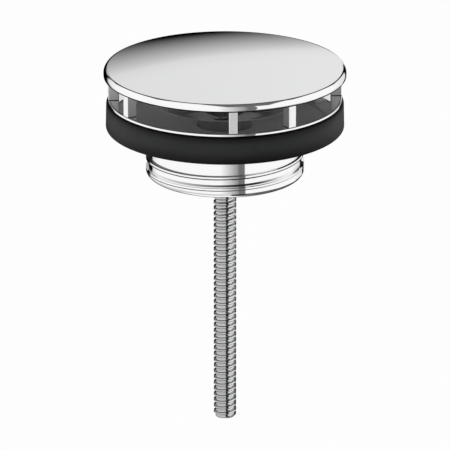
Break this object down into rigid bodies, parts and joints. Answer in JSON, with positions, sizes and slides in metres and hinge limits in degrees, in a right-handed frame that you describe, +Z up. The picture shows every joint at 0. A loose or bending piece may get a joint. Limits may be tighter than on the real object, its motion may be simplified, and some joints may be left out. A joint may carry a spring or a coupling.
{
  "type": "sink drain valve",
  "caption": "Free-flow basin waste: low round cover on short posts over a flanged drain body with a rubber gasket, a threaded shank and a long draw rod.",
  "frame": {"origin": "centre of the gasket's underside, where it lies on the basin", "axes": "+Z up along the draw rod towards the cover, -Y the front that the picture shows, +X to the right"},
  "size_m": [0.0634, 0.0634, 0.0997],
  "materials": {
    "cover_chrome": "polished",
    "body_chrome": "polished",
    "cast_parts": "satin, as cast and plated",
    "rod_steel": "rolled thread, bright zinc",
    "fastener_steel": "bright zinc",
    "gasket_rubber": "matt black"
  },
  "bodies": {
    "drain": {"drain_body": "body_chrome", "gasket": "gasket_rubber", "bridge": "cast_parts", "post_1": "body_chrome", "post_2": "body_chrome", "post_3": "body_chrome", "post_4": "body_chrome", "post_5": "body_chrome", "post_6": "body_chrome", "post_7": "body_chrome", "post_8": "body_chrome"},
    "cover_and_rod": {"cover": "cover_chrome", "cover_boss": "cast_parts", "lock_washer": "fastener_steel", "lock_nut": "fastener_steel", "draw_rod": "rod_steel", "keeper_washer": "fastener_steel", "keeper_nut": "fastener_steel"}
  },
  "joints": [
    {"name": "cover_turn", "type": "hinge", "parent": "drain", "child": "cover_and_rod", "pos_m": [0, 0, 0], "axis": [0, 0, 1], "continuous": true}
  ]
}
